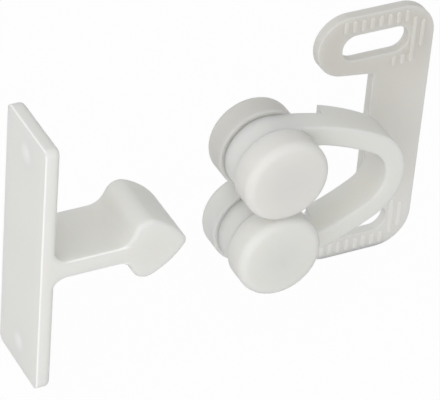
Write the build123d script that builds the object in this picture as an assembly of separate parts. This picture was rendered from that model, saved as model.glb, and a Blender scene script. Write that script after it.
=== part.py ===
from build123d import *
import math
import os

# Nylon double roller cabinet catch with its separate arrow-headed strike, in millimetres.
# X points along the strike's way into the catch, Z is up, and the catch's plate lies on Y = 0
# against the cabinet's side, with everything else in front of it, towards -Y.
# The origin is the middle of the spine of the plate's mounting face.

# Plate of the catch: an upright spine with two slotted arms
PLATE_HEIGHT = 37.8
PLATE_THICKNESS = 1.4
SPINE_WIDTH = 8.2
ARM_REACH = 16.7
ARM_ROOT_HEIGHT = 9.3
ARM_TIP_HEIGHT = 8.7
PLATE_CORNER_RADIUS = 4.8
NOTCH_CORNER_RADIUS = 0.4
PLATE_EDGE_BREAK = 0.25

# Screw slots, one in each arm
SLOT_LENGTH = 9.5
SLOT_WIDTH = 3.8
SLOT_FROM_OUTER_EDGE = 4.75
SLOT_FROM_SPINE_EDGE = 3.65

# Grip ribs around the slots, on the front of the plate
RIB_WIDTH = 0.6
RIB_BACK_WIDTH = 0.25
RIB_RISE = 0.22
RIB_PITCH = 1.25
OUTER_RIB_COUNT = 8
INNER_RIB_COUNT = 3
RIB_MARGIN = 0.5
END_RIB_GAP = 0.65
END_RIB_MARGIN = 1.35
END_RIB_LENGTHS = (5.6, 4.1)

# Bow: a bent leaf that stands in front of the plate and carries a roller at each end
BOW_STANDOFF = 3.1
BOW_WIDTH = 5.5
BOW_THICKNESS = 2.75
NOSE_RADIUS = 5.7
NOSE_HALF_ANGLE = 60.0
LEAF_RADIUS = 36.0
NOSE_OVER_SPINE = 0.95
STEP_DEPTH = 2.2
STEP_FROM_AXLE = 7.95
STEP_SLANT = 0.6
BOW_EDGE_BREAK = 0.2
EYE_BLEND_RADIUS = 1.2

# Root block behind the nose, which joins the bow to the spine
ROOT_HEIGHT = 6.0

# Rollers: two discs on one axle pin at the end of each leaf
ROLLER_RADIUS = 5.7
ROLLER_GAP = 0.2
ROLLER_WIDTH = 4.1
ROLLER_SIDE_CLEARANCE = 0.25
ROLLER_RIM_BREAK = 0.5
AXLE_FROM_SPINE_EDGE = 26.5
PIN_RADIUS = 1.5
PIN_RUNNING_CLEARANCE = 0.08
PIN_PRESS = 0.01
PIN_HOLD_DEPTH = 2.6
PIN_END_GAP = 0.1
PIN_CHAMFER = 0.25

# Strike: a plate with an arrow-headed tongue
STRIKE_HEIGHT = 36.0
STRIKE_WIDTH = 11.4
STRIKE_THICKNESS = 2.0
STRIKE_CORNER_RADIUS = 0.9
STRIKE_RIM_ROUND = 0.8
STRIKE_EDGE_BREAK = 0.2
TONGUE_WIDTH = 9.6
NECK_THICKNESS = 2.4
NECK_LENGTH = 9.5
TONGUE_ROOT_FILLET = 1.5
FLANK_RADIUS = 10.0
FLANK_CENTRE_DROP = 5.0
FLANK_CENTRE_FROM_FACE = 8.9
SHOULDER_FROM_FACE = 11.2
SHOULDER_ROUND = 1.9
NECK_ROUND = 2.2
TIP_ROUND = 0.9
STRIKE_HOLE_RADIUS = 1.6
STRIKE_HOLE_SPACING = 28.6
COUNTERSINK_RADIUS = 2.9
COUNTERSINK_ANGLE = 90.0
MEMBRANE_THICKNESS = 0.25
STRIKE_STANDOFF = 7.1

# Places that follow from the sizes
spine_edge = SPINE_WIDTH / 2
notch_edge = -SPINE_WIDTH / 2
arm_end = spine_edge - ARM_REACH
plate_top = PLATE_HEIGHT / 2
plate_front = -PLATE_THICKNESS
slot_x = spine_edge - SLOT_FROM_SPINE_EDGE - SLOT_LENGTH / 2
slot_z = plate_top - SLOT_FROM_OUTER_EDGE

bow_back = plate_front - BOW_STANDOFF
bow_front = bow_back - BOW_WIDTH
leaf_back = bow_back - STEP_DEPTH
leaf_width = leaf_back - bow_front

axle_x = spine_edge - AXLE_FROM_SPINE_EDGE
axle_z = ROLLER_RADIUS + ROLLER_GAP / 2
roller_mid = (leaf_back + bow_front) / 2
roller_face = leaf_width / 2 + ROLLER_SIDE_CLEARANCE
step_x = axle_x + STEP_FROM_AXLE

nose_x = notch_edge + NOSE_OVER_SPINE - NOSE_RADIUS - BOW_THICKNESS / 2
nose_end = (
    nose_x + NOSE_RADIUS * math.cos(math.radians(NOSE_HALF_ANGLE)),
    NOSE_RADIUS * math.sin(math.radians(NOSE_HALF_ANGLE)),
)
leaf_centre = (
    nose_end[0] - LEAF_RADIUS * math.cos(math.radians(NOSE_HALF_ANGLE)),
    nose_end[1] - LEAF_RADIUS * math.sin(math.radians(NOSE_HALF_ANGLE)),
)

tongue_length = FLANK_CENTRE_FROM_FACE + math.sqrt(FLANK_RADIUS**2 - FLANK_CENTRE_DROP**2)
strike_tip = axle_x - ROLLER_RADIUS - STRIKE_STANDOFF
strike_face = strike_tip - tongue_length
strike_back = strike_face - STRIKE_THICKNESS
tongue_near = roller_mid - TONGUE_WIDTH / 2


def prism(sketch, back, depth):
    """Stands a sketch up in the XZ plane at Y = back and draws it out by a depth towards -Y."""
    plane = Plane((0, back, 0), x_dir=(1, 0, 0), z_dir=(0, -1, 0))
    return extrude(plane * sketch, depth, dir=(0, -1, 0))


def along_y(radius, length):
    """Cylinder on the Y axis."""
    return Cylinder(radius, length, rotation=(90, 0, 0))


def polar(centre, radius, degrees):
    """Point at an angle on a circle."""
    angle = math.radians(degrees)
    return (centre[0] + radius * math.cos(angle), centre[1] + radius * math.sin(angle))


def bearing(start, end):
    """Angle in degrees from one point to another."""
    return math.degrees(math.atan2(end[1] - start[1], end[0] - start[0]))


def arc(centre, radius, start_angle, end_angle):
    """Arc through three points of a circle."""
    middle = (start_angle + end_angle) / 2
    ends = [polar(centre, radius, a) for a in (start_angle, middle, end_angle)]
    return ThreePointArc(*ends)


def plate_outline():
    """Upper half of the plate: spine, arm and its full-round end."""
    tip_radius = ARM_TIP_HEIGHT / 2
    tip_centre = (arm_end + tip_radius, plate_top - tip_radius)
    lower_lean = math.degrees(math.atan2(
        ARM_ROOT_HEIGHT - ARM_TIP_HEIGHT, notch_edge - tip_centre[0]
    ))
    under_tip = polar(tip_centre, tip_radius, 270 - lower_lean)
    root = (notch_edge, plate_top - ARM_ROOT_HEIGHT)
    corner = (spine_edge - PLATE_CORNER_RADIUS, plate_top - PLATE_CORNER_RADIUS)
    edge = [
        Line((spine_edge, 0), (spine_edge, corner[1])),
        arc(corner, PLATE_CORNER_RADIUS, 0, 90),
        Line((corner[0], plate_top), (tip_centre[0], plate_top)),
        arc(tip_centre, tip_radius, 90, 270 - lower_lean),
        Line(under_tip, root),
        Line(root, (notch_edge, 0)),
        Line((notch_edge, 0), (spine_edge, 0)),
    ]
    return make_face(Curve() + edge)


def screw_slot():
    """One slot in plan, at the middle of the upper arm."""
    return Pos(slot_x, slot_z) * SlotOverall(SLOT_LENGTH, SLOT_WIDTH)


def rib(x, low, high):
    """One grip rib with sloped flanks, standing on the front of the plate."""
    foot, back = RIB_WIDTH / 2, RIB_BACK_WIDTH / 2
    section = make_face(Polyline((-foot, 0), (-back, -RIB_RISE), (back, -RIB_RISE), (foot, 0), close=True))
    return extrude(Pos(x, plate_front, low) * section, high - low, dir=(0, 0, 1))


def grip_ribs():
    """Ribs round one slot: a row outside it, a few inside it and two longer ones past its end."""
    first = slot_x + SLOT_LENGTH / 2 + END_RIB_GAP
    outer = (slot_z + SLOT_WIDTH / 2 + RIB_MARGIN, plate_top - RIB_MARGIN)
    inner = (plate_top - ARM_ROOT_HEIGHT + RIB_MARGIN, slot_z - SLOT_WIDTH / 2 - RIB_MARGIN)
    ribs = []
    for i, length in enumerate(END_RIB_LENGTHS):
        x = first + i * RIB_PITCH
        past_corner = x - (spine_edge - PLATE_CORNER_RADIUS)
        edge = plate_top - PLATE_CORNER_RADIUS + math.sqrt(PLATE_CORNER_RADIUS**2 - past_corner**2)
        ribs.append(rib(x, edge - END_RIB_MARGIN - length, edge - END_RIB_MARGIN))
    ribs += [rib(first - (i + 1) * RIB_PITCH, *outer) for i in range(OUTER_RIB_COUNT)]
    ribs += [rib(first - (i + 1) * RIB_PITCH, *inner) for i in range(INNER_RIB_COUNT)]
    return ribs


def leaf_outline():
    """Upper half of the bow: half its nose, one leaf and the round eye at its end."""
    half = BOW_THICKNESS / 2
    eye = (axle_x, axle_z)
    reach = math.dist(leaf_centre, eye)
    outer, inner = LEAF_RADIUS + half, LEAF_RADIUS - half
    eye_radius = outer - reach
    touch = bearing(leaf_centre, eye)
    # the leaf's under side meets the eye where the two circles cross
    along = (reach**2 + inner**2 - eye_radius**2) / (2 * reach)
    meet_angle = touch - math.degrees(math.acos(along / inner))
    meet = polar(leaf_centre, inner, meet_angle)
    nose = (nose_x, 0)
    edge = [
        arc(nose, NOSE_RADIUS + half, 0, NOSE_HALF_ANGLE),
        arc(leaf_centre, outer, NOSE_HALF_ANGLE, touch),
        arc(eye, eye_radius, touch, bearing(eye, meet) + 360),
        arc(leaf_centre, inner, meet_angle, NOSE_HALF_ANGLE),
        arc(nose, NOSE_RADIUS - half, NOSE_HALF_ANGLE, 0),
        Line((nose_x + NOSE_RADIUS - half, 0), (nose_x + NOSE_RADIUS + half, 0)),
    ]
    face = make_face(Curve() + edge)
    corner = [v for v in face.vertices() if math.dist((v.X, v.Y), meet) < half / 10]
    return fillet(corner, EYE_BLEND_RADIUS)


def whole(half_sketch):
    """A sketch with its mirror image below the X axis, as one face."""
    return half_sketch + mirror(half_sketch, about=Plane.XZ)


def plate():
    """Plate with its two slots and rounded front edges."""
    slots = screw_slot() + mirror(screw_slot(), about=Plane.XZ)
    body = prism(whole(plate_outline()) - slots, 0, PLATE_THICKNESS)
    notch_corners = [
        e for e in body.edges().filter_by(Axis.Y)
        if math.isclose(e.center().X, notch_edge, abs_tol=NOTCH_CORNER_RADIUS / 10)
    ]
    body = fillet(notch_corners, NOTCH_CORNER_RADIUS)
    front_rim = body.faces().sort_by(Axis.Y)[0].outer_wire().edges()
    return chamfer(front_rim, PLATE_EDGE_BREAK)


def bow():
    """Bow with its wide part behind the nose and a bored eye at the end of each leaf."""
    profile = whole(leaf_outline())
    slanted = Polyline(
        (step_x, leaf_back),
        (step_x + STEP_SLANT, bow_back),
        (spine_edge, bow_back),
        (spine_edge, leaf_back),
        close=True,
    )
    wide_part = extrude(Pos(0, 0, -plate_top) * make_face(slanted), PLATE_HEIGHT, dir=(0, 0, 1))
    body = prism(profile, leaf_back, leaf_width)
    body += prism(profile, bow_back, STEP_DEPTH) & wide_part
    for side in (1, -1):
        bore = along_y(PIN_RADIUS + PIN_RUNNING_CLEARANCE, 2 * BOW_WIDTH)
        body -= Pos(axle_x, roller_mid, side * axle_z) * bore
    front_rim = body.faces().sort_by(Axis.Y)[0].outer_wire().edges()
    return chamfer(front_rim, BOW_EDGE_BREAK)


def root_block():
    """Block between the nose and the spine, with the nose's own curve on its outer side."""
    nose = Pos(nose_x, 0) * Circle(NOSE_RADIUS + BOW_THICKNESS / 2)
    strip = Pos(notch_edge + NOSE_OVER_SPINE / 2, 0) * Rectangle(NOSE_OVER_SPINE, ROOT_HEIGHT)
    return prism(nose & strip, plate_front, BOW_STANDOFF)


def catch_body():
    """The one-piece moulding: plate with ribs, root block and bow."""
    body = plate() + root_block() + bow()
    for item in grip_ribs():
        body += item
        body += mirror(item, about=Plane.XY)
    return body


def roller_disc():
    """One roller disc on the Y axis, from Y = 0: broken rims and a blind bore for the pin."""
    disc = Pos(0, ROLLER_WIDTH / 2, 0) * along_y(ROLLER_RADIUS, ROLLER_WIDTH)
    disc = chamfer(disc.edges().filter_by(GeomType.CIRCLE), ROLLER_RIM_BREAK)
    depth = PIN_HOLD_DEPTH + PIN_END_GAP
    return disc - Pos(0, depth / 2, 0) * along_y(PIN_RADIUS - PIN_PRESS, depth)


def axle_pin():
    """Axle pin along Y, with chamfered ends."""
    length = 2 * (roller_face + PIN_HOLD_DEPTH)
    pin = along_y(PIN_RADIUS, length)
    return chamfer(pin.edges().filter_by(GeomType.CIRCLE), PIN_CHAMFER)


def tongue_outline():
    """Section of the tongue: flared root, neck, steep shoulders, curved flanks and rounded tip."""
    neck = NECK_THICKNESS / 2
    flare = TONGUE_ROOT_FILLET
    centre = (FLANK_CENTRE_FROM_FACE, -FLANK_CENTRE_DROP)
    past_centre = SHOULDER_FROM_FACE - FLANK_CENTRE_FROM_FACE
    shoulder_z = centre[1] + math.sqrt(FLANK_RADIUS**2 - past_centre**2)
    start = bearing(centre, (SHOULDER_FROM_FACE, shoulder_z))
    end = bearing(centre, (tongue_length, 0))
    edge = [
        Line((-STRIKE_THICKNESS / 2, 0), (-STRIKE_THICKNESS / 2, neck + flare)),
        Line((-STRIKE_THICKNESS / 2, neck + flare), (0, neck + flare)),
        arc((flare, neck + flare), flare, 180, 270),
        Line((flare, neck), (NECK_LENGTH, neck)),
        Line((NECK_LENGTH, neck), (SHOULDER_FROM_FACE, shoulder_z)),
        arc(centre, FLANK_RADIUS, start, end),
        Line((tongue_length, 0), (-STRIKE_THICKNESS / 2, 0)),
    ]
    face = whole(make_face(Curve() + edge))
    for x, size in (
        (NECK_LENGTH, NECK_ROUND),
        (SHOULDER_FROM_FACE, SHOULDER_ROUND),
        (tongue_length, TIP_ROUND),
    ):
        corners = [v for v in face.vertices() if math.isclose(v.X, x, abs_tol=size / 100)]
        face = fillet(corners, size)
    return face


def tongue():
    """The tongue, from inside the plate to its tip, with the edges of both sides broken."""
    body = prism(Pos(strike_face, 0) * tongue_outline(), tongue_near + TONGUE_WIDTH, TONGUE_WIDTH)
    sides = body.faces().sort_by(Axis.Y)
    return chamfer(sides[0].edges() + sides[-1].edges(), STRIKE_EDGE_BREAK)


def strike():
    """The strike: a plate with countersunk screw points and the tongue on its catch side."""
    middle = tongue_near + STRIKE_WIDTH / 2
    outline = RectangleRounded(STRIKE_WIDTH, STRIKE_HEIGHT, STRIKE_CORNER_RADIUS)
    door_side = Plane((strike_back, middle, 0), x_dir=(0, 1, 0), z_dir=(1, 0, 0))
    body = extrude(door_side * outline, STRIKE_THICKNESS)
    body = fillet(body.faces().sort_by(Axis.X)[-1].edges(), STRIKE_RIM_ROUND)
    body = chamfer(body.faces().sort_by(Axis.X)[0].edges(), STRIKE_EDGE_BREAK)
    body += tongue()
    for side in (1, -1):
        body -= Pos(strike_face, middle, side * STRIKE_HOLE_SPACING / 2) * screw_point()
    return body


def screw_point():
    """Blind screw hole with its countersink, going in along -X and ending at a thin membrane."""
    flare = COUNTERSINK_RADIUS - STRIKE_HOLE_RADIUS
    sink_depth = flare / math.tan(math.radians(COUNTERSINK_ANGLE / 2))
    depth = STRIKE_THICKNESS - MEMBRANE_THICKNESS
    hole = Pos(-depth / 2, 0, 0) * Cylinder(STRIKE_HOLE_RADIUS, depth, rotation=(0, 90, 0))
    sink = Cone(STRIKE_HOLE_RADIUS, COUNTERSINK_RADIUS, sink_depth, rotation=(0, 90, 0))
    return hole + Pos(-sink_depth / 2, 0, 0) * sink


def nodes():
    """Every sub-part by name, in its place."""
    parts = {"catch_body": catch_body(), "strike": strike()}
    disc = Pos(0, roller_face, 0) * roller_disc()
    for level, side in (("upper", 1), ("lower", -1)):
        axle = Pos(axle_x, roller_mid, side * axle_z)
        parts[f"{level}_axle_pin"] = axle * axle_pin()
        parts[f"{level}_rear_roller"] = axle * disc
        parts[f"{level}_front_roller"] = axle * mirror(disc, about=Plane.XZ)
    return parts


def flank_contact_travel(gap):
    """How far the strike slides in until its flanks are a given gap from both rollers."""
    reach = FLANK_RADIUS + ROLLER_RADIUS + gap
    rise = axle_z + FLANK_CENTRE_DROP
    centre_x = axle_x - math.sqrt(reach**2 - rise**2)
    return centre_x - (strike_face + FLANK_CENTRE_FROM_FACE)


os.makedirs("parts", exist_ok=True)
for name, shape in nodes().items():
    export_step(shape, f"parts/{name}.step")
print(f"axle at x {axle_x:.3f}, y {roller_mid:.3f}, z {axle_z:.3f}")
print(f"strike travel to flank contact, less 0.3 mm: {flank_contact_travel(0.3):.2f}")
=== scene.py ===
import bpy
import bmesh
import math
from bpy.props import FloatProperty, FloatVectorProperty, IntProperty, PointerProperty
from mathutils import Matrix, Vector


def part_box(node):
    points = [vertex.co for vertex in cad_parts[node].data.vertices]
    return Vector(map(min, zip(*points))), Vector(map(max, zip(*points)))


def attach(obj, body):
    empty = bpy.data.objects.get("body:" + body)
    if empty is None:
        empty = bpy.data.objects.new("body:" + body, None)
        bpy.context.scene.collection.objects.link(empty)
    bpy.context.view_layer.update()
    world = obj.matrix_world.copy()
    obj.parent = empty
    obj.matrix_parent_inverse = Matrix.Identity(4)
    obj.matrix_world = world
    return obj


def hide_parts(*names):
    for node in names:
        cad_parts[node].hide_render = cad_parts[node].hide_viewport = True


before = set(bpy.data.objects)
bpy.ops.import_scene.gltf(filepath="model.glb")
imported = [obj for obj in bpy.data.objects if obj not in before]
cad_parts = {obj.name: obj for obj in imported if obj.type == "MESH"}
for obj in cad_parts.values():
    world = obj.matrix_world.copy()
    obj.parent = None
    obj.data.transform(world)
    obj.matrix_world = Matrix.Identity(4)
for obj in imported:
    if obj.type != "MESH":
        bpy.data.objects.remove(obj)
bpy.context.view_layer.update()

bl_info = {
    "name": "Double roller cabinet catch",
    "version": (1, 0, 0),
    "blender": (4, 5, 0),
    "location": "3D View > Sidebar > Roller Catch",
    "description": "Builds a nylon double roller catch with its arrow-headed strike",
    "category": "Object",
}

MM = 0.001
BODY_LOW, BODY_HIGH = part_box("catch_body")
ROLLER_LOW, ROLLER_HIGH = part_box("upper_front_roller")
STRIKE_LOW, STRIKE_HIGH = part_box("strike")
AXLE = (ROLLER_LOW + ROLLER_HIGH) / 2
PIN_LOW, PIN_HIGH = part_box("upper_axle_pin")
PIN_RADIUS = (PIN_HIGH.z - PIN_LOW.z) / 2
# rounding of an edge that looks sharp
SHARP = 0.02 * MM


# Sizes and colours that a user would change

def length(name, description, metres):
    """A size that a user would change."""
    return FloatProperty(
        name=name,
        description=description,
        default=metres,
        unit="LENGTH",
        precision=5,
    )


def tint(name, description, colour):
    """A colour that a user would change."""
    return FloatVectorProperty(
        name=name,
        description=description,
        subtype="COLOR",
        size=3,
        min=0.0,
        max=1.0,
        default=colour,
    )


def fraction(name, description, value):
    """A share from 0 to 1 that a user would change."""
    return FloatProperty(
        name=name,
        description=description,
        min=0.0,
        max=1.0,
        subtype="FACTOR",
        default=value,
    )


class CatchSizes(bpy.types.PropertyGroup):
    """Plate and bow of the catch."""

    plate_height: length("Plate height", "Height of the screw plate", BODY_HIGH.z - BODY_LOW.z)
    plate_thickness: length("Plate thickness", "Thickness of the screw plate", 1.4 * MM)
    spine_width: length("Spine width", "Width of the plate between its arms", 8.2 * MM)
    arm_reach: length("Arm reach", "Width of the plate at its arms", 16.7 * MM)
    arm_root: length("Arm root height", "Height of an arm beside the spine", 9.3 * MM)
    arm_tip: length("Arm tip height", "Height of an arm at its round end", 8.7 * MM)
    corner_radius: length("Corner radius", "Radius of the plate's two outer corners", 4.8 * MM)
    notch_radius: length("Notch radius", "Radius where an arm leaves the spine", 0.4 * MM)
    plate_round: length("Plate edge round", "Rounding of the plate's front rim", 0.12 * MM)
    plate_back_round: length("Plate back round", "Rounding of the plate's back rim", 0.04 * MM)
    slot_length: length("Slot length", "Length of a screw slot", 9.5 * MM)
    slot_width: length("Slot width", "Width of a screw slot", 3.8 * MM)
    slot_drop: length("Slot drop", "From the plate's outer edge to a slot's middle", 4.75 * MM)
    slot_setback: length("Slot setback", "From the spine's edge to a slot's end", 3.65 * MM)
    rib_rise: length("Rib rise", "Height of the grip ribs", 0.16 * MM)
    rib_width: length("Rib width", "Width of a grip rib at its foot", 0.66 * MM)
    rib_pitch: length("Rib pitch", "Distance between grip ribs", 1.25 * MM)
    rib_margin: length("Rib margin", "From a rib's end to the plate's edge or the slot", 0.5 * MM)
    end_rib_gap: length("End rib gap", "From the slot's end to the first long rib", 0.65 * MM)
    end_rib_margin: length("End rib margin", "From a long rib's end to the plate's edge", 1.35 * MM)
    first_end_rib: length("First long rib", "Length of the long rib beside the slot", 5.6 * MM)
    second_end_rib: length("Second long rib", "Length of the long rib by the edge", 4.1 * MM)
    outer_ribs: IntProperty(
        name="Outer ribs",
        description="Number of ribs between a slot and the plate's end",
        default=8,
        min=0,
    )
    inner_ribs: IntProperty(
        name="Inner ribs",
        description="Number of ribs on the inner side of a slot",
        default=3,
        min=0,
    )
    bow_front: length("Bow front", "Place of the bow's front side along Y", BODY_LOW.y)
    leaf_back: length("Leaf back", "Place of the narrow leaves' back side along Y", -6.7 * MM)
    bow_back: length("Bow back", "Place of the bow's wide back side along Y", -4.5 * MM)
    bow_thickness: length("Bow thickness", "Thickness of the bent leaf", 2.75 * MM)
    nose_radius: length("Nose radius", "Middle radius of the bow's nose", 5.7 * MM)
    nose_over_spine: length("Nose over spine", "How far the nose reaches over the spine", 0.95 * MM)
    leaf_radius: length("Leaf radius", "Middle radius of the two leaves", 36.0 * MM)
    step_from_axle: length("Step from axle", "From the axle to the step in the leaf", 7.95 * MM)
    step_slant: length("Step slant", "Slant of that step along X", 0.6 * MM)
    eye_blend: length("Eye blend", "Radius between a leaf and its eye", 1.2 * MM)
    eye_clearance: length("Eye clearance", "Gap round the axle pin in its eye", 0.08 * MM)
    bow_round: length("Bow edge round", "Rounding of the bow's front edges", 0.4 * MM)
    bow_back_round: length("Bow back round", "Rounding of the bow's back edges", 0.2 * MM)
    root_height: length("Root height", "Height of the block that joins bow and plate", 6.0 * MM)


class RollerSizes(bpy.types.PropertyGroup):
    """The roller discs."""

    radius: length(
        "Roller radius", "Outer radius of a disc", (ROLLER_HIGH.z - ROLLER_LOW.z) / 2
    )
    width: length(
        "Roller width", "Width of a disc with its crown", ROLLER_HIGH.y - ROLLER_LOW.y
    )
    crown: length("Crown", "Rise of the disc's outer face at its middle", 0.12 * MM)
    rim_round: length("Rim round", "Rounding of the disc's outer rim", 1.1 * MM)
    inner_round: length("Inner round", "Rounding of the rim beside the leaf", 0.35 * MM)
    segments: IntProperty(name="Segments", description="Steps round a disc", default=128, min=12)


class StrikeSizes(bpy.types.PropertyGroup):
    """The strike plate and its tongue."""

    height: length("Strike height", "Height of the strike's plate", STRIKE_HIGH.z - STRIKE_LOW.z)
    width: length("Strike width", "Width of the strike's plate", STRIKE_HIGH.y - STRIKE_LOW.y)
    thickness: length("Strike thickness", "Thickness of the strike's plate", 2.0 * MM)
    corner_radius: length("Corner radius", "Radius of the plate's corners", 1.0 * MM)
    door_round: length("Door edge round", "Rounding of the edges on the door side", 0.14 * MM)
    catch_round: length("Catch edge round", "Rounding of the edges on the catch side", 0.85 * MM)
    tongue_width: length("Tongue width", "Width of the tongue along Y", 9.6 * MM)
    neck_thickness: length("Neck thickness", "Thickness of the tongue's neck", 2.4 * MM)
    neck_length: length("Neck length", "From the plate to the shoulder's foot", 9.5 * MM)
    flare: length("Root flare", "Radius where the neck meets the plate", 1.5 * MM)
    flank_radius: length("Flank radius", "Radius of the head's flanks", 10.0 * MM)
    flank_drop: length("Flank drop", "How far a flank's centre lies past the middle", 5.0 * MM)
    flank_centre: length("Flank centre", "From the plate to a flank's centre", 8.9 * MM)
    shoulder: length("Shoulder", "From the plate to the shoulder's corner", 11.2 * MM)
    shoulder_round: length("Shoulder round", "Rounding of the shoulders", 1.9 * MM)
    neck_blend: length("Neck blend", "Hollow between neck and shoulder", 2.2 * MM)
    edge_change: length("Edge change", "Stretch over which neck edge becomes head edge", 3.0 * MM)
    tip_round: length("Tip round", "Rounding of the tongue's tip", 0.9 * MM)
    neck_edge: length("Neck edge", "Rounding of the neck's long edges", 0.22 * MM)
    head_edge: length("Head edge", "Rounding of the head's edges", 0.6 * MM)
    hole_spacing: length("Hole spacing", "Distance between the screw points", 28.6 * MM)
    hole_radius: length("Hole radius", "Radius of a screw hole", 1.6 * MM)
    sink_radius: length("Countersink radius", "Radius of a countersink at its mouth", 2.9 * MM)
    membrane: length("Membrane", "Thickness left at the bottom of a hole", 0.7 * MM)
    pip_radius: length("Centre mark", "Radius of the small mark on the door side", 1.1 * MM)
    pip_depth: length("Centre mark depth", "Depth of that mark", 0.2 * MM)
    # Painted highlights: reach of the bright spot round each centre mark, and width of the bright
    # lines along the strike's edges.
    mark_highlight_reach: length("Centre mark shine", "Reach of the light round that mark", 1.87 * MM)
    line_width: length("Bright line", "Width of the bright lines along sharp edges", 0.24 * MM)
    highlight_core: length("Line core", "Width of such a line at its full brightness", 0.1 * MM)


class NylonSettings(bpy.types.PropertyGroup):
    """Colour and finish of the moulded nylon, with its painted shade and painted highlights."""

    colour: tint(
        "Nylon colour", "Colour of the off-white nylon where it is thick",
        (0.938, 0.927, 0.888),
    )
    haze: tint(
        "Haze colour", "Slightly deeper tone of the cloudy patches",
        (0.918, 0.906, 0.863),
    )
    # Painted shade: darker tones on the thin plate that stand in for the lesser light reaching it,
    # darkest at its upper end.
    plate_shade_top: tint(
        "Upper plate", "Deeper tone of the thin plate at its upper end",
        (0.748, 0.736, 0.695),
    )
    plate_shade_spine: tint(
        "Plate's spine", "Tone of the thin plate along its spine",
        (0.85, 0.838, 0.797),
    )
    # Painted light: colour and strength of the glow that paints the highlights on the strike and
    # the ribs.
    painted_highlight_colour: tint(
        "Thin colour", "Colour of the light that comes through thin places",
        (1.0, 0.998, 0.985),
    )
    gloss: fraction("Gloss", "Strength of the surface's plain reflection", 0.25)
    shine: FloatProperty(
        name="Shine through",
        description="Strength of the light that comes through thin places",
        min=0.0,
        default=0.5,
    )
    # Painted highlights: how much of the painted glow goes to the strike's lines and marks, and to
    # the plate's ribs.
    line_highlight_share: fraction("Line shine", "Share of that light at the strike's lines and marks", 0.3)
    rib_highlight_share: fraction("Rib shine", "Share of that light at the plate's ribs", 0.1)
    roughness: fraction("Roughness", "Roughness of the moulded surface", 0.45)
    depth: length("Light depth", "How far light travels inside the nylon", 2.0 * MM)
    rear_depth: length("Rear light depth", "How far light travels inside the rear discs", 3.0 * MM)
    # Painted shade: the upper discs get darker copies of the nylon, the rear one darkest, where
    # less light reaches them.
    rear_disc_shade: fraction("Rear disc tone", "Tone of the upper rear disc against the others", 0.8)
    front_disc_shade: fraction("Front disc tone", "Tone of the upper front disc", 0.975)
    skin: tint(
        "Skin tint", "Tint of the clear skin, which deepens where it is seen edge-on",
        (0.94, 0.94, 0.94),
    )
    skin_index: FloatProperty(
        name="Skin index",
        description="Index of refraction of the clear skin",
        min=1.0,
        default=1.03,
    )


class StageSettings(bpy.types.PropertyGroup):
    """Camera, floor and light."""

    azimuth: FloatProperty(
        name="Azimuth",
        description="Direction of the camera round the catch",
        subtype="ANGLE",
        default=math.radians(-29.32),
    )
    elevation: FloatProperty(
        name="Elevation",
        description="Height angle of the camera above the horizon",
        subtype="ANGLE",
        default=math.radians(36.50),
    )
    roll: FloatProperty(
        name="Roll",
        description="Turn of the camera about its own line of sight",
        subtype="ANGLE",
        default=math.radians(5.0),
    )
    distance: length("Distance", "Distance from the camera to its target", 372.0 * MM)
    target: FloatVectorProperty(
        name="Target",
        description="Point that the camera looks at",
        subtype="XYZ",
        size=3,
        default=(-27.89 * MM, -7.02 * MM, -0.09 * MM),
    )
    lens: FloatProperty(
        name="Lens",
        description="Focal length of the camera in millimetres",
        unit="CAMERA",
        default=245.45,
    )
    backdrop: fraction(
        "Backdrop white", "Share of plain white in the floor as the camera sees it", 0.96
    )
    daylight: FloatProperty(
        name="Daylight",
        description="Mean strength of the light from all round",
        min=0.0,
        default=0.67,
    )
    window: FloatVectorProperty(
        name="Window",
        description="Direction that the daylight comes from, longer where it is more one-sided",
        subtype="XYZ",
        size=3,
        default=(-0.26, -0.18, 0.13),
    )
    softbox: FloatProperty(
        name="Softbox",
        description="Power of the large lamp beside the catch",
        min=0.0,
        subtype="POWER",
        default=0.095,
    )
    softbox_size: length("Softbox size", "Width and height of that lamp", 160.0 * MM)
    softbox_place: FloatVectorProperty(
        name="Softbox place",
        description="Middle of that lamp",
        subtype="XYZ",
        size=3,
        default=(-160.0 * MM, -140.0 * MM, 0.0),
    )
    floor_reach: length("Floor reach", "From the middle of the floor to its edge", 4000.0 * MM)


# Outlines in a plane

def polar(centre, radius, degrees):
    """Point at an angle on a circle."""
    angle = math.radians(degrees)
    return centre + radius * Vector((math.cos(angle), math.sin(angle)))


def bearing(start, end):
    """Angle in degrees from one point to another."""
    return math.degrees(math.atan2(end.y - start.y, end.x - start.x))


def arc(centre, radius, start, end, step=6.0):
    """Points along an arc between two angles in degrees, with both its ends."""
    count = max(2, math.ceil(abs(end - start) / step))
    return [polar(centre, radius, start + (end - start) * i / count) for i in range(count + 1)]


def blunt(before, corner, after, radius):
    """Points of a round that takes the place of a corner between two straight lines."""
    first = (before - corner).normalized()
    second = (after - corner).normalized()
    half = first.angle(second) / 2
    centre = corner + (first + second).normalized() * radius / math.sin(half)
    reach = radius / math.tan(half)
    start = bearing(centre, corner + first * reach)
    turn = (bearing(centre, corner + second * reach) - start + 180) % 360 - 180
    return arc(centre, radius, start, start + turn)


def circles_meet(centre, radius, other, other_radius, side):
    """The crossing of two circles that lies to the left (side 1) or right (side -1) of the way from
    the first to the other."""
    way = other - centre
    gap = way.length
    along = (gap**2 + radius**2 - other_radius**2) / (2 * gap)
    across = math.sqrt(radius**2 - along**2)
    unit = way / gap
    return centre + along * unit + side * across * Vector((-unit.y, unit.x))


def both_halves(upper):
    """A closed outline from its upper half, which runs anticlockwise."""
    return upper + [Vector((point.x, -point.y)) for point in reversed(upper)]


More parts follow.
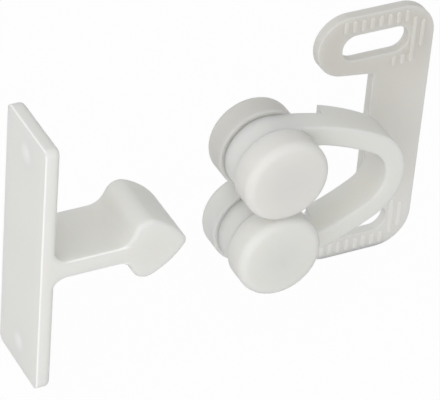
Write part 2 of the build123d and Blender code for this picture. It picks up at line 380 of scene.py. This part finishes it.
def inset(outline, amounts, least_lean=0.5):
    """Moves each point of an outline to its left, which is into the material. The least lean stops
    a point at a narrow corner from going too far."""
    moved = []
    for i, (point, amount) in enumerate(zip(outline, amounts)):
        back = (point - outline[i - 1]).normalized()
        ahead = (outline[(i + 1) % len(outline)] - point).normalized()
        lean = (back + ahead).normalized()
        normal = Vector((-lean.y, lean.x))
        moved.append(point + normal * amount / max(back.dot(lean), least_lean))
    return moved


# Meshes

ROUND_STEPS = 6


def in_xz(point, depth):
    """Place of an outline's point that is drawn in X and Z, at a place along Y."""
    return (point.x, depth, point.y)


def in_yz(point, depth):
    """Place of an outline's point that is drawn in Y and Z, at a place along X."""
    return (depth, point.x, point.y)


def in_xy(point, depth):
    """Place of an outline's point that is drawn in X and Y, at a place along Z."""
    return (point.x, point.y, depth)


def slab(outlines, place, near, far, near_round, far_round):
    """Closed solid between two depths, with rounded rims. The first outline is its outer edge,
    the others are holes. A rounding is a number or a function of the outline's point."""
    shape = bmesh.new()
    caps = ([], [])
    for outline in outlines:
        rings = []
        for depth, inward, rounding in ((near, far, near_round), (far, near, far_round)):
            radii = [rounding(point) if callable(rounding) else rounding for point in outline]
            way = math.copysign(1.0, inward - depth)
            side = []
            for step in range(ROUND_STEPS + 1):
                turn = math.pi / 2 * step / ROUND_STEPS
                points = inset(outline, [radius * (1 - math.sin(turn)) for radius in radii])
                side.append([
                    shape.verts.new(place(point, depth + way * radius * (1 - math.cos(turn))))
                    for point, radius in zip(points, radii)
                ])
            rings.append(side)
        loop = rings[0] + rings[1][::-1]
        for low, high in zip(loop, loop[1:]):
            for i in range(len(outline)):
                j = (i + 1) % len(outline)
                shape.faces.new((low[i], low[j], high[j], high[i]))
        for cap, ring in ((caps[0], loop[0]), (caps[1], loop[-1])):
            cap += [shape.edges.get((ring[i - 1], ring[i])) for i in range(len(ring))]
    for cap in caps:
        bmesh.ops.triangle_fill(shape, edges=cap, use_beauty=True, use_dissolve=False)
    return closed(shape)


def lathe(profile, segments, place):
    """Turned solid: a profile of (radius, depth) pairs that starts and ends on the axis."""
    shape = bmesh.new()
    axis = Vector((0, 0))
    ends = [shape.verts.new(place(axis, end[1])) for end in (profile[0], profile[-1])]
    rings = []
    for radius, depth in profile[1:-1]:
        rings.append([
            shape.verts.new(place(polar(axis, radius, 360 * i / segments), depth))
            for i in range(segments)
        ])
    for low, high in zip(rings, rings[1:]):
        for i in range(segments):
            shape.faces.new((low[i - 1], low[i], high[i], high[i - 1]))
    for end, ring in zip(ends, (rings[0], rings[-1])):
        for i in range(segments):
            shape.faces.new((end, ring[i - 1], ring[i]))
    return closed(shape)


def closed(shape):
    """A mesh from a bmesh whose faces then all look outwards."""
    bmesh.ops.recalc_face_normals(shape, faces=shape.faces)
    mesh = bpy.data.meshes.new("solid")
    shape.to_mesh(mesh)
    shape.free()
    return mesh


def shifted(mesh, offset):
    """A copy of a mesh in another place."""
    copy = mesh.copy()
    copy.transform(Matrix.Translation(offset))
    return copy


def combine(base, others, operation):
    """Joins closed meshes to a base, or cuts them out of it."""
    scene = bpy.context.scene.collection
    target = bpy.data.objects.new("base", base)
    scene.objects.link(target)
    tools = []
    for other in others:
        tool = bpy.data.objects.new("tool", other)
        scene.objects.link(tool)
        tools.append(tool)
        step = target.modifiers.new("step", "BOOLEAN")
        step.operation = operation
        step.solver = "MANIFOLD"
        step.object = tool
    graph = bpy.context.evaluated_depsgraph_get()
    result = bpy.data.meshes.new_from_object(target.evaluated_get(graph))
    for item in (target, *tools):
        bpy.data.objects.remove(item)
    if not result.polygons:
        raise RuntimeError("a solid came out empty")
    return result


def finish_piece(mesh, name, material, body, node, sharp=35.0):
    """Makes a mesh the shown piece for a node, smooth but for its sharp edges."""
    piece = bpy.data.objects.new(name, mesh)
    bpy.context.scene.collection.objects.link(piece)
    mesh.shade_smooth()
    mesh.set_sharp_from_angle(angle=math.radians(sharp))
    weights = piece.modifiers.new("face weights", "WEIGHTED_NORMAL")
    weights.keep_sharp = True
    paint(piece, material)
    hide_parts(node)
    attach(piece, body)
    return piece


# Shader expressions

WHITE = (1.0, 1.0, 1.0, 1.0)
# numbers of a colour mix's sockets
MIX_FACTOR, MIX_FIRST, MIX_SECOND = 0, 6, 7
MIX_RESULT = 2


class Wire:
    """A shader socket that takes part in Python arithmetic."""

    def __init__(self, tree, socket):
        self.tree = tree
        self.socket = socket

    def _math(self, operation, *values):
        """Adds a Math node for values that are wires or numbers."""
        node = self.tree.nodes.new("ShaderNodeMath")
        node.operation = operation
        for port, value in zip(node.inputs, values):
            if isinstance(value, Wire):
                self.tree.links.new(value.socket, port)
            else:
                port.default_value = value
        return Wire(self.tree, node.outputs[0])

    def __add__(self, other):
        return self._math("ADD", self, other)

    def __radd__(self, other):
        return self._math("ADD", other, self)

    def __sub__(self, other):
        return self._math("SUBTRACT", self, other)

    def __rsub__(self, other):
        return self._math("SUBTRACT", other, self)

    def __mul__(self, other):
        return self._math("MULTIPLY", self, other)

    def __rmul__(self, other):
        return self._math("MULTIPLY", other, self)

    def __abs__(self):
        return self._math("ABSOLUTE", self)

    def most(self, other):
        """The larger of two values."""
        return self._math("MAXIMUM", self, other)


class Finish:
    """A material, or the daylight, under construction."""

    def __init__(self, holder, output):
        self.holder = holder
        holder.use_nodes = True
        self.tree = holder.node_tree
        self.tree.nodes.clear()
        self.output = self.tree.nodes.new(output)

    def node(self, kind, settings=None, **values):
        """Adds a node, sets its settings first, then the values or links of its sockets."""
        node = self.tree.nodes.new("ShaderNode" + kind)
        for key, value in (settings or {}).items():
            setattr(node, key, value)
        for key, value in values.items():
            self.plug(node.inputs[key.replace("_", " ")], value)
        return node

    def plug(self, port, value):
        """Links a wire to a socket, or sets the socket's value."""
        if isinstance(value, Wire):
            self.tree.links.new(value.socket, port)
        else:
            port.default_value = value

    def out(self, node, name=0):
        """One of a node's outputs."""
        return Wire(self.tree, node.outputs[name])

    def blend(self, factor, first, second):
        """Mixes two colours."""
        node = self.tree.nodes.new("ShaderNodeMix")
        node.data_type = "RGBA"
        self.plug(node.inputs[MIX_FACTOR], factor)
        self.plug(node.inputs[MIX_FIRST], first)
        self.plug(node.inputs[MIX_SECOND], second)
        return self.out(node, MIX_RESULT)

    def ramp(self, value, start, end):
        """0 where a value is at its start, 1 where it is at its end, and smooth between them."""
        return self.out(self.node(
            "MapRange", {"interpolation_type": "SMOOTHSTEP"},
            Value=value, From_Min=start, From_Max=end, To_Min=0.0, To_Max=1.0,
        ))

    def near_point(self, place, point, radius):
        """1 at a point, fading to 0 at a distance from it."""
        away = self.node("VectorMath", {"operation": "DISTANCE"})
        self.plug(away.inputs[0], place)
        self.plug(away.inputs[1], point)
        return self.ramp(self.out(away, "Value"), radius, 0.0)

    def surface(self, wire):
        """Ends the nodes with their surface, and gives back the finished material or daylight."""
        self.tree.links.new(wire.socket, self.output.inputs["Surface"])
        return self.holder


def new_material(name):
    """A new empty material."""
    return Finish(bpy.data.materials.new(name), "ShaderNodeOutputMaterial")


def strike_painted_highlights(finish, place):
    """Painted highlights on the strike: bright lines along its sharp door-side edges and the neck's
    long edges, and bright spots round its screw points."""
    sizes = bpy.context.scene.strike_sizes
    part = finish.node("SeparateXYZ", None, Vector=place)
    along, across, up = (finish.out(part, axis) for axis in "XYZ")
    start = STRIKE_LOW.x
    neck_start = start + sizes.thickness + sizes.flare
    neck_end = start + sizes.thickness + sizes.neck_length
    fade = sizes.flare / 2
    wide, narrow = sizes.line_width, sizes.highlight_core
    middle = (STRIKE_LOW.y + STRIKE_HIGH.y) / 2
    side = finish.ramp(abs(across - middle), sizes.width / 2 - wide, sizes.width / 2 - narrow)
    end = finish.ramp(abs(up), sizes.height / 2 - wide, sizes.height / 2 - narrow)
    bright = side.most(end) * finish.ramp(along, start + wide, start + narrow)
    neck = finish.ramp(abs(abs(up) - sizes.neck_thickness / 2), wide, narrow)
    half = sizes.tongue_width / 2
    neck = neck * finish.ramp(abs(across - (STRIKE_LOW.y + half)), half - wide, half - narrow)
    neck = neck * finish.ramp(along, neck_start - fade, neck_start + fade)
    neck = neck * finish.ramp(along, neck_end + fade, neck_end - fade)
    bright = bright.most(neck)
    for sign in (1, -1):
        point = (start, middle, sign * sizes.hole_spacing / 2)
        bright = bright.most(finish.near_point(place, point, sizes.mark_highlight_reach))
    return bpy.context.scene.nylon.line_highlight_share * bright


def rib_painted_highlights(finish, place):
    """Painted highlight along the plate's ribs."""
    depth = finish.out(finish.node("SeparateXYZ", None, Vector=place), "Y")
    front = -bpy.context.scene.catch_sizes.plate_thickness
    rib_foot, rib_flank = front - 0.01 * MM, front - 0.1 * MM
    fade_start, fade_end = front - 0.6 * MM, front - 1.6 * MM
    rib = finish.ramp(depth, rib_foot, rib_flank) * finish.ramp(depth, fade_end, fade_start)
    return bpy.context.scene.nylon.rib_highlight_share * rib


def plate_painted_shade(finish, place, colour):
    """Painted shade: the thin plate gets a darker tone, darkest at its upper end, fading towards
    its lower end.
    """
    look = bpy.context.scene.nylon
    part = finish.node("SeparateXYZ", None, Vector=place)
    depth, height = finish.out(part, "Y"), finish.out(part, "Z")
    front = -bpy.context.scene.catch_sizes.plate_thickness
    fade_start, fade_end = front - 0.6 * MM, front - 2.0 * MM
    plate = finish.ramp(depth, fade_end, fade_start)
    upper_start, upper_end = 2.0 * MM, 14.0 * MM
    upper = finish.ramp(height, upper_start, upper_end)
    lower_start, lower_end = -7.0 * MM, -13.0 * MM
    lower = finish.ramp(height, lower_start, lower_end)
    deep = finish.blend(upper, (*look.plate_shade_spine, 1.0), (*look.plate_shade_top, 1.0))
    # less painted shade towards the plate's lower end, standing in for more light there
    lower_shade_fade = 0.8
    return finish.blend(plate * (1.0 - lower_shade_fade * lower), colour, deep)


def nylon(name, seed, depth, painted_shade=None, painted_light=None, tone=1.0):
    """Cloudy off-white nylon: light goes in to some depth, and the surface is satin. A tone under 1
    is painted shade, a darker copy of the nylon. A piece may also get painted shade in its colour
    alone, and painted highlights that glow where it is marked."""
    look = bpy.context.scene.nylon
    finish = new_material(name)
    place = finish.out(finish.node("TexCoord"), "Object")
    # a tone under 1 darkens both cloud colours as painted shade
    pale = [tone * part for part in look.colour]
    deep = [tone * part for part in look.haze]

    def noise(shift, scale, detail):
        node = finish.node(
            "TexNoise", {"noise_dimensions": "4D"},
            Vector=place, W=seed + shift, Scale=scale, Detail=detail,
        )
        return finish.out(node, "Fac")

    cloud = noise(shift=0.0, scale=140.0, detail=3.0)
    grain = noise(shift=3.0, scale=2600.0, detail=2.0)
    flow = noise(shift=5.0, scale=420.0, detail=2.0)
    colour = finish.blend(cloud, (*deep, 1.0), (*pale, 1.0))
    # painted shade in the colour of this piece alone
    if painted_shade:
        colour = painted_shade(finish, place, colour)
    # painted highlights: an emission glow where the piece is marked bright
    shine = (0.0, 0.0, 0.0, 1.0)
    if painted_light:
        shine = finish.blend(painted_light(finish, place), shine, (*look.painted_highlight_colour, 1.0))
    mean = 0.5
    grain_rough, cloud_rough = 0.12, 0.1
    rough = look.roughness + grain_rough * (grain - mean) + cloud_rough * (cloud - mean)
    grain_height, flow_height = 0.3, 0.7
    height = grain_height * grain + flow_height * flow
    relief = finish.node("Bump", None, Height=height, Strength=0.12, Distance=0.05 * MM)
    shade = finish.node(
        "BsdfPrincipled",
        {"subsurface_method": "RANDOM_WALK"},
        Base_Color=colour,
        Roughness=rough,
        IOR=1.53,
        Specular_IOR_Level=look.gloss,
        Coat_Weight=1.0,
        Coat_IOR=look.skin_index,
        Coat_Roughness=0.3,
        Coat_Tint=(*look.skin, 1.0),
        Subsurface_Weight=1.0,
        Subsurface_Radius=(1.0, 0.97, 0.9),
        Subsurface_Scale=depth,
        Emission_Color=shine,
        Emission_Strength=look.shine,
        Normal=finish.out(relief),
    )
    return finish.surface(finish.out(shade))


def paint(piece, material):
    """Gives a piece one material all over."""
    piece.data.materials.clear()
    piece.data.materials.append(material)


# Plate and bow

def plate_outline(sizes):
    """Outline of the C-shaped plate."""
    top = sizes.plate_height / 2
    edge = sizes.spine_width / 2
    corner = Vector((edge - sizes.corner_radius, top - sizes.corner_radius))
    tip_radius = sizes.arm_tip / 2
    tip = Vector((edge - sizes.arm_reach + tip_radius, top - tip_radius))
    lean = math.degrees(math.atan2(sizes.arm_root - sizes.arm_tip, -edge - tip.x))
    end = arc(tip, tip_radius, 90, 270 - lean)
    root = Vector((-edge, top - sizes.arm_root))
    upper = arc(corner, sizes.corner_radius, 0, 90) + end
    upper += blunt(end[-1], root, Vector((-edge, 0)), sizes.notch_radius)
    return both_halves(upper)


def slot_outline(sizes, side):
    """Outline of a screw slot, clockwise because it is a hole."""
    radius = sizes.slot_width / 2
    z = side * (sizes.plate_height / 2 - sizes.slot_drop)
    right = sizes.spine_width / 2 - sizes.slot_setback - radius
    left = right + 2 * radius - sizes.slot_length
    return arc(Vector((right, z)), radius, 90, -90) + arc(Vector((left, z)), radius, 270, 90)


def plate_solid(sizes):
    """The plate with its two slots."""
    outlines = [plate_outline(sizes), slot_outline(sizes, 1), slot_outline(sizes, -1)]
    front = -sizes.plate_thickness
    return slab(outlines, in_xz, front, 0.0, sizes.plate_round, sizes.plate_back_round)


def rib_spans(sizes):
    """Place along X, lower end and upper end of each rib of the upper arm."""
    top = sizes.plate_height / 2
    edge = sizes.spine_width / 2
    first = edge - sizes.slot_setback + sizes.end_rib_gap
    slot_top = top - sizes.slot_drop + sizes.slot_width / 2
    slot_bottom = slot_top - sizes.slot_width
    spans = []
    for i, run in enumerate((sizes.first_end_rib, sizes.second_end_rib)):
        x = first + i * sizes.rib_pitch
        past = x - (edge - sizes.corner_radius)
        rise = math.sqrt(sizes.corner_radius**2 - past**2)
        high = top - sizes.corner_radius + rise - sizes.end_rib_margin
        spans.append((x, high - run, high))
    for i in range(sizes.outer_ribs):
        x = first - (i + 1) * sizes.rib_pitch
        spans.append((x, slot_top + sizes.rib_margin, top - sizes.rib_margin))
    for i in range(sizes.inner_ribs):
        x = first - i * sizes.rib_pitch
        spans.append((x, top - sizes.arm_root + sizes.rib_margin, slot_bottom - sizes.rib_margin))
    return spans


def ribs(sizes):
    """Grip ribs round both slots: an outer row, a few inner ones and two long ones past the end."""
    half = sizes.rib_width / 2
    front = -sizes.plate_thickness - sizes.rib_rise
    foot = front + 0.5 * MM
    meshes = []
    for x, low, high in rib_spans(sizes):
        for side in (1, -1):
            bottom, top = sorted((side * low, side * high))
            outline = arc(Vector((x, top - half)), half, 0, 180, step=30.0)
            outline += arc(Vector((x, bottom + half)), half, 180, 360, step=30.0)
            meshes.append(slab([outline], in_xz, front, foot, sizes.rib_rise, SHARP))
    return meshes


def bow_outline(sizes):
    """Outline of the bent leaf with its nose and the round eye at each end."""
    half = sizes.bow_thickness / 2
    nose_angle = 60.0
    nose = Vector((sizes.nose_over_spine - sizes.spine_width / 2 - sizes.nose_radius - half, 0))
    end = polar(nose, sizes.nose_radius, nose_angle)
    centre = end - (polar(nose, sizes.leaf_radius, nose_angle) - nose)
    eye = Vector((AXLE.x, AXLE.z))
    reach = (eye - centre).length
    outer, inner = sizes.leaf_radius + half, sizes.leaf_radius - half
    eye_radius = outer - reach
    touch = bearing(centre, eye)
    blend = circles_meet(eye, eye_radius + sizes.eye_blend, centre, inner - sizes.eye_blend, 1)
    eye_end = touch + (bearing(eye, blend) - touch) % 360
    upper = arc(nose, sizes.nose_radius + half, 0, nose_angle)[1:]
    upper += arc(centre, outer, nose_angle, touch, step=2.0)[1:]
    upper += arc(eye, eye_radius, touch, eye_end)[1:]
    blend_start = bearing(blend, eye)
    blend_turn = (bearing(blend, centre) + 180 - blend_start + 180) % 360 - 180
    upper += arc(blend, sizes.eye_blend, blend_start, blend_start + blend_turn, step=15.0)[1:]
    upper += arc(centre, inner, bearing(centre, blend), nose_angle, step=2.0)[1:]
    upper += arc(nose, sizes.nose_radius - half, nose_angle, 0)[1:-1]
    return both_halves(upper)


def bow_solid(sizes):
    """The bent leaf, wide at its nose and narrower between the steps and the eyes. Its back edge
    is rounded but for the nose's end, where the root carries on."""
    root_start = -sizes.spine_width / 2 - 0.6 * MM

    def back_round(point):
        return 1.5 * SHARP if point.x > root_start else sizes.bow_back_round

    bore = PIN_RADIUS + sizes.eye_clearance
    eyes = [Vector((AXLE.x, side * AXLE.z)) for side in (1, -1)]
    bores = [arc(eye, bore, 360, 0, step=15.0)[:-1] for eye in eyes]
    outlines = [bow_outline(sizes), *bores]
    leaf = slab(outlines, in_xz, sizes.bow_front, sizes.bow_back, sizes.bow_round, back_round)
    step = AXLE.x + sizes.step_from_axle
    slope = sizes.step_slant / (sizes.bow_back - sizes.leaf_back)
    beyond_eyes = step - 20.0 * MM
    behind = sizes.bow_back + 1.0 * MM
    cut = [
        Vector((beyond_eyes, sizes.leaf_back)),
        Vector((step, sizes.leaf_back)),
        Vector((step + (behind - sizes.leaf_back) * slope, behind)),
        Vector((beyond_eyes, behind)),
    ]
    cut_round = 0.1 * MM
    tool = slab([cut], in_xy, -sizes.plate_height / 2, sizes.plate_height / 2, cut_round, cut_round)
    return combine(leaf, [tool], "DIFFERENCE")


def root_solid(sizes):
    """Block between the nose and the spine, with the nose's own curve on its outer side."""
    left = -sizes.spine_width / 2
    radius = sizes.nose_radius + sizes.bow_thickness / 2
    nose = Vector((sizes.nose_over_spine + left - radius, 0))
    limit = math.degrees(math.asin(sizes.root_height / 2 / radius))
    below_nose = 3 * SHARP
    start = sizes.bow_back - 0.5 * MM
    outline = arc(nose, radius - below_nose, -limit, limit)
    outline += [Vector((left, sizes.root_height / 2)), Vector((left, -sizes.root_height / 2))]
    return slab([outline], in_xz, start, -sizes.plate_thickness / 2, SHARP, SHARP)


class CATCH_OT_body(bpy.types.Operator):
    """Plate, root and bow of the catch"""

    bl_idname = "roller_catch.body"
    bl_label = "Catch Body"

    def execute(self, context):
        sizes = context.scene.catch_sizes
        parts = [root_solid(sizes), bow_solid(sizes), *ribs(sizes)]
        mesh = combine(plate_solid(sizes), parts, "UNION")
        depth = context.scene.nylon.depth
        # the plate gets painted shade, and its ribs painted highlights
        finish = nylon("catch_nylon", 1.0, depth, painted_shade=plate_painted_shade, painted_light=rib_painted_highlights)
        finish_piece(mesh, "catch_moulding", finish, "catch", "catch_body")
        return {"FINISHED"}


# Rollers

CROWN_STEPS = 12


def disc_profile(sizes, bore, bore_depth):
    """Half section of a disc from the middle of its crowned face to the bottom of its bore."""
    face = sizes.width - sizes.crown
    rim = Vector((sizes.radius - sizes.rim_round, face - sizes.rim_round))
    inner = Vector((sizes.radius - sizes.inner_round, sizes.inner_round))
    crown_radius = sizes.radius - sizes.rim_round
    profile = [(0.0, sizes.width)]
    for part in (i / CROWN_STEPS for i in range(1, CROWN_STEPS)):
        profile.append((crown_radius * part, face + sizes.crown * (1 - part**2)))
    rounds = arc(rim, sizes.rim_round, 90, 0, step=9.0)
    rounds += arc(inner, sizes.inner_round, 0, -90, step=15.0)
    profile += [(point.x, point.y) for point in rounds]
    profile += [(bore, 0.0), (bore, bore_depth), (0.0, bore_depth)]
    return profile


class CATCH_OT_rollers(bpy.types.Operator):
    """The four roller discs"""

    bl_idname = "roller_catch.rollers"
    bl_label = "Rollers"

    def execute(self, context):
        sizes = context.scene.roller_sizes
        look = context.scene.nylon
        # painted shade: darker copies of the nylon for the two upper discs
        disc_shades = {"upper_rear_roller": look.rear_disc_shade, "upper_front_roller": look.front_disc_shade}
        bore_depth = PIN_HIGH.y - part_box("upper_rear_roller")[0].y
        profile = disc_profile(sizes, PIN_RADIUS, bore_depth)
        seed = 10.0
        for level in ("upper", "lower"):
            for side in ("rear", "front"):
                node = f"{level}_{side}_roller"
                low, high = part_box(node)
                start, way = (low.y, 1) if side == "rear" else (high.y, -1)
                middle = (low + high) / 2

                def place(point, along):
                    return (middle.x + point.x, start + way * along, middle.z + point.y)

                mesh = lathe(profile, sizes.segments, place)
                depth = look.rear_depth if side == "rear" else look.depth
                finish = nylon(f"{node}_nylon", seed, depth, tone=disc_shades.get(node, 1.0))
                finish_piece(
                    mesh, f"{level}_{side}_disc", finish, f"{level}_roller", node
                )
                seed += 1.0
        return {"FINISHED"}


class CATCH_OT_pins(bpy.types.Operator):
    """The two axle pins"""

    bl_idname = "roller_catch.pins"
    bl_label = "Axle Pins"

    def execute(self, context):
        depth = context.scene.nylon.depth
        for seed, name in ((20.0, "upper_axle_pin"), (21.0, "lower_axle_pin")):
            paint(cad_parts[name], nylon(name + "_nylon", seed, depth))
        return {"FINISHED"}


# Strike

def tongue_outline(sizes, face):
    """Section of the tongue: flared root, neck, steep shoulders, curved flanks and rounded tip."""
    neck = sizes.neck_thickness / 2
    centre = Vector((face + sizes.flank_centre, -sizes.flank_drop))
    past = sizes.shoulder - sizes.flank_centre
    shoulder_height = centre.y + math.sqrt(sizes.flank_radius**2 - past**2)
    shoulder = Vector((face + sizes.shoulder, shoulder_height))
    foot = Vector((face + sizes.neck_length, neck))
    # the shoulder's round touches its straight rise and the flank's circle from inside
    rise = (shoulder - foot).normalized()
    right = Vector((rise.y, -rise.x))
    base = foot + right * sizes.shoulder_round - centre
    reach = sizes.flank_radius - sizes.shoulder_round
    along = -base.dot(rise) + math.sqrt(base.dot(rise) ** 2 - base.length_squared + reach**2)
    lobe = centre + base + along * rise
    # the tip's round lies on the middle line and touches both flanks from inside
    tip_x = centre.x + math.sqrt((sizes.flank_radius - sizes.tip_round) ** 2 - sizes.flank_drop**2)
    tip = Vector((tip_x, 0))
    tip_angle = bearing(centre, tip)
    upper = arc(tip, sizes.tip_round, 0, tip_angle)[1:]
    lobe_start = bearing(centre, lobe)
    lobe_end = bearing(-right, Vector((0, 0))) + 180
    upper += arc(centre, sizes.flank_radius, tip_angle, lobe_start, step=3.0)[1:]
    upper += arc(lobe, sizes.shoulder_round, lobe_start, lobe_end)[1:]
    upper += blunt(shoulder, foot, foot - Vector((sizes.flare, 0)), sizes.neck_blend)
    root = face - 1.5 * SHARP
    upper += arc(Vector((root + sizes.flare, neck + sizes.flare)), sizes.flare, 270, 180)
    # past the flare it goes on inside the plate, far enough for the rounded rims to fit
    spare = 0.15 * MM
    end = neck + sizes.flare + sizes.catch_round + spare
    sunk = 0.95 * sizes.thickness
    upper += [Vector((root - SHARP, end)), Vector((face - sunk, end))]
    return both_halves([Vector((tip.x + sizes.tip_round, 0))] + upper)[:-1]


def tongue_solid(sizes, face):
    """The tongue, with small rounds along the neck and large ones round the head."""
    flare_round = sizes.catch_round + 2 * SHARP
    change_start = face + sizes.neck_length - sizes.edge_change / 2

    def edge_round(point):
        if point.x < face + sizes.flare:
            rise = min(max((abs(point.y) - sizes.neck_thickness / 2) / sizes.flare, 0.0), 1.0)
            return sizes.neck_edge + (flare_round - sizes.neck_edge) * rise
        along = min(max((point.x - change_start) / sizes.edge_change, 0.0), 1.0)
        smooth = along * along * (3 - 2 * along)
        return sizes.neck_edge + (sizes.head_edge - sizes.neck_edge) * smooth

    near = STRIKE_LOW.y
    far = near + sizes.tongue_width
    return slab([tongue_outline(sizes, face)], in_xz, near, far, edge_round, edge_round)


def strike_plate_solid(sizes, back, middle):
    """The strike's plate, nearly sharp on its door side and well rounded on its catch side."""
    half = Vector((sizes.width, sizes.height)) / 2
    radius = sizes.corner_radius
    outline = []
    for start, across, up in ((0, 1, 1), (90, -1, 1), (180, -1, -1), (270, 1, -1)):
        corner = Vector((middle + across * (half.x - radius), up * (half.y - radius)))
        outline += arc(corner, radius, start, start + 90)
    return slab([outline], in_yz, back, back + sizes.thickness, sizes.door_round, sizes.catch_round)


def screw_cutters(sizes, back, face, middle):
    """Countersunk blind holes from the catch side, and a small centre mark on the door side."""
    above = 0.5 * MM
    sink = sizes.sink_radius - sizes.hole_radius
    bottom = back + sizes.membrane
    hole = [
        (0.0, face + above),
        (sizes.sink_radius + above, face + above),
        (sizes.hole_radius, face - sink),
        (sizes.hole_radius, bottom),
        (0.0, bottom),
    ]
    mouth = sizes.pip_radius * (1 + above / sizes.pip_depth)
    mark = [(0.0, back - above), (mouth, back - above), (0.0, back + sizes.pip_depth)]
    tools = []
    for side in (1, -1):
        offset = Vector((0, middle, side * sizes.hole_spacing / 2))
        tools.append(shifted(lathe(hole, segments=48, place=in_yz), offset))
        tools.append(shifted(lathe(mark, segments=5, place=in_yz), offset))
    return tools


class CATCH_OT_strike(bpy.types.Operator):
    """The strike plate with its tongue"""

    bl_idname = "roller_catch.strike"
    bl_label = "Strike"

    def execute(self, context):
        sizes = context.scene.strike_sizes
        back = STRIKE_LOW.x
        face = back + sizes.thickness
        middle = (STRIKE_LOW.y + STRIKE_HIGH.y) / 2
        plate = strike_plate_solid(sizes, back, middle)
        solid = combine(plate, [tongue_solid(sizes, face)], "UNION")
        solid = combine(solid, screw_cutters(sizes, back, face, middle), "DIFFERENCE")
        # the strike gets painted highlights along its edges and round its screw points
        finish = nylon("strike_nylon", 30.0, context.scene.nylon.depth, painted_light=strike_painted_highlights)
        finish_piece(solid, "strike_moulding", finish, "strike", "strike")
        return {"FINISHED"}


# Floor, light and camera

class CATCH_OT_stage(bpy.types.Operator):
    """Floor, light and camera"""

    bl_idname = "roller_catch.stage"
    bl_label = "Stage"

    def execute(self, context):
        stage = context.scene.catch_stage
        self.floor(stage)
        self.light(stage)
        self.camera(context, stage)
        context.scene.view_settings.view_transform = "Standard"
        return {"FINISHED"}

    def floor(self, stage):
        """A plain floor under the lowest point."""
        low = min(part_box(name)[0].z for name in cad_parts)
        mesh = bpy.data.meshes.new("floor")
        shape = bmesh.new()
        bmesh.ops.create_grid(shape, x_segments=1, y_segments=1, size=stage.floor_reach)
        gap = 0.02 * MM
        bmesh.ops.translate(shape, verts=shape.verts, vec=(0, 0, low - gap))
        shape.to_mesh(mesh)
        shape.free()
        floor = bpy.data.objects.new("floor", mesh)
        bpy.context.scene.collection.objects.link(floor)
        finish = new_material("floor_paint")
        path = finish.node("LightPath")
        seen = finish.out(path, "Is Camera Ray") + finish.out(path, "Is Glossy Ray")
        seen = seen + finish.out(path, "Is Transmission Ray")
        pale_grey = (0.93, 0.93, 0.93, 1.0)
        matt = finish.out(finish.node("BsdfDiffuse", None, Color=pale_grey))
        white = finish.out(finish.node("Emission", None, Color=WHITE, Strength=1.0))
        mix = finish.node("MixShader", None, Fac=seen * stage.backdrop)
        finish.tree.links.new(matt.socket, mix.inputs[1])
        finish.tree.links.new(white.socket, mix.inputs[2])
        paint(floor, finish.surface(finish.out(mix)))

    def light(self, stage):
        """Even daylight and one large soft lamp."""
        world = bpy.data.worlds.new("daylight")
        bpy.context.scene.world = world
        finish = Finish(world, "ShaderNodeOutputWorld")
        facing = finish.node("VectorMath", {"operation": "DOT_PRODUCT"})
        finish.plug(facing.inputs[0], finish.out(finish.node("TexCoord"), "Generated"))
        finish.plug(facing.inputs[1], stage.window)
        strength = stage.daylight * (1.0 + finish.out(facing, "Value"))
        sky = finish.node("Background", None, Color=WHITE, Strength=strength)
        finish.surface(finish.out(sky))
        lamp = bpy.data.lights.new("softbox", "AREA")
        lamp.shape = "RECTANGLE"
        lamp.size = stage.softbox_size
        lamp.size_y = stage.softbox_size
        lamp.energy = stage.softbox
        box = bpy.data.objects.new("softbox", lamp)
        box.location = stage.softbox_place
        aim = Vector(stage.target) - box.location
        box.rotation_mode = "QUATERNION"
        box.rotation_quaternion = aim.to_track_quat("-Z", "Y")
        bpy.context.scene.collection.objects.link(box)

    def camera(self, context, stage):
        """Camera at the photograph's angle."""
        azimuth, elevation, roll = stage.azimuth, stage.elevation, stage.roll
        level = math.cos(elevation)
        back = Vector((math.sin(azimuth) * level, -math.cos(azimuth) * level, math.sin(elevation)))
        right = Vector((math.cos(azimuth), math.sin(azimuth), 0.0))
        up = back.cross(right)
        side = math.cos(roll) * right + math.sin(roll) * up
        top = -math.sin(roll) * right + math.cos(roll) * up
        data = bpy.data.cameras.new("camera")
        data.lens = stage.lens
        data.sensor_width = 36.0
        data.clip_start = 0.01
        data.clip_end = 20.0
        camera = bpy.data.objects.new("camera", data)
        turn = Matrix((side, top, back)).transposed().to_4x4()
        place = Matrix.Translation(Vector(stage.target) + back * stage.distance)
        camera.matrix_world = place @ turn
        context.scene.collection.objects.link(camera)
        context.scene.camera = camera


class CATCH_PT_panel(bpy.types.Panel):
    """Lists the pieces of the catch in the sidebar"""

    bl_idname = "CATCH_PT_panel"
    bl_label = "Roller Catch"
    bl_space_type = "VIEW_3D"
    bl_region_type = "UI"
    bl_category = "Roller Catch"

    def draw(self, context):
        for name in SETTINGS:
            group = getattr(context.scene, name)
            box = self.layout.box()
            for item in group.__annotations__:
                box.prop(group, item)
        for operator in BUILDERS:
            self.layout.operator(operator.bl_idname)


BUILDERS = (
    CATCH_OT_body,
    CATCH_OT_rollers,
    CATCH_OT_pins,
    CATCH_OT_strike,
    CATCH_OT_stage,
)
SETTINGS = {
    "catch_sizes": CatchSizes,
    "roller_sizes": RollerSizes,
    "strike_sizes": StrikeSizes,
    "nylon": NylonSettings,
    "catch_stage": StageSettings,
}


def register():
    for item in (*SETTINGS.values(), *BUILDERS, CATCH_PT_panel):
        bpy.utils.register_class(item)
    for name, group in SETTINGS.items():
        setattr(bpy.types.Scene, name, PointerProperty(type=group))


def unregister():
    for name in SETTINGS:
        delattr(bpy.types.Scene, name)
    for item in reversed((*SETTINGS.values(), *BUILDERS, CATCH_PT_panel)):
        bpy.utils.unregister_class(item)


def main():
    """Builds the catch with its stage."""
    register()
    bpy.ops.roller_catch.body()
    bpy.ops.roller_catch.rollers()
    bpy.ops.roller_catch.pins()
    bpy.ops.roller_catch.strike()
    bpy.ops.roller_catch.stage()


if __name__ == "__main__":
    main()
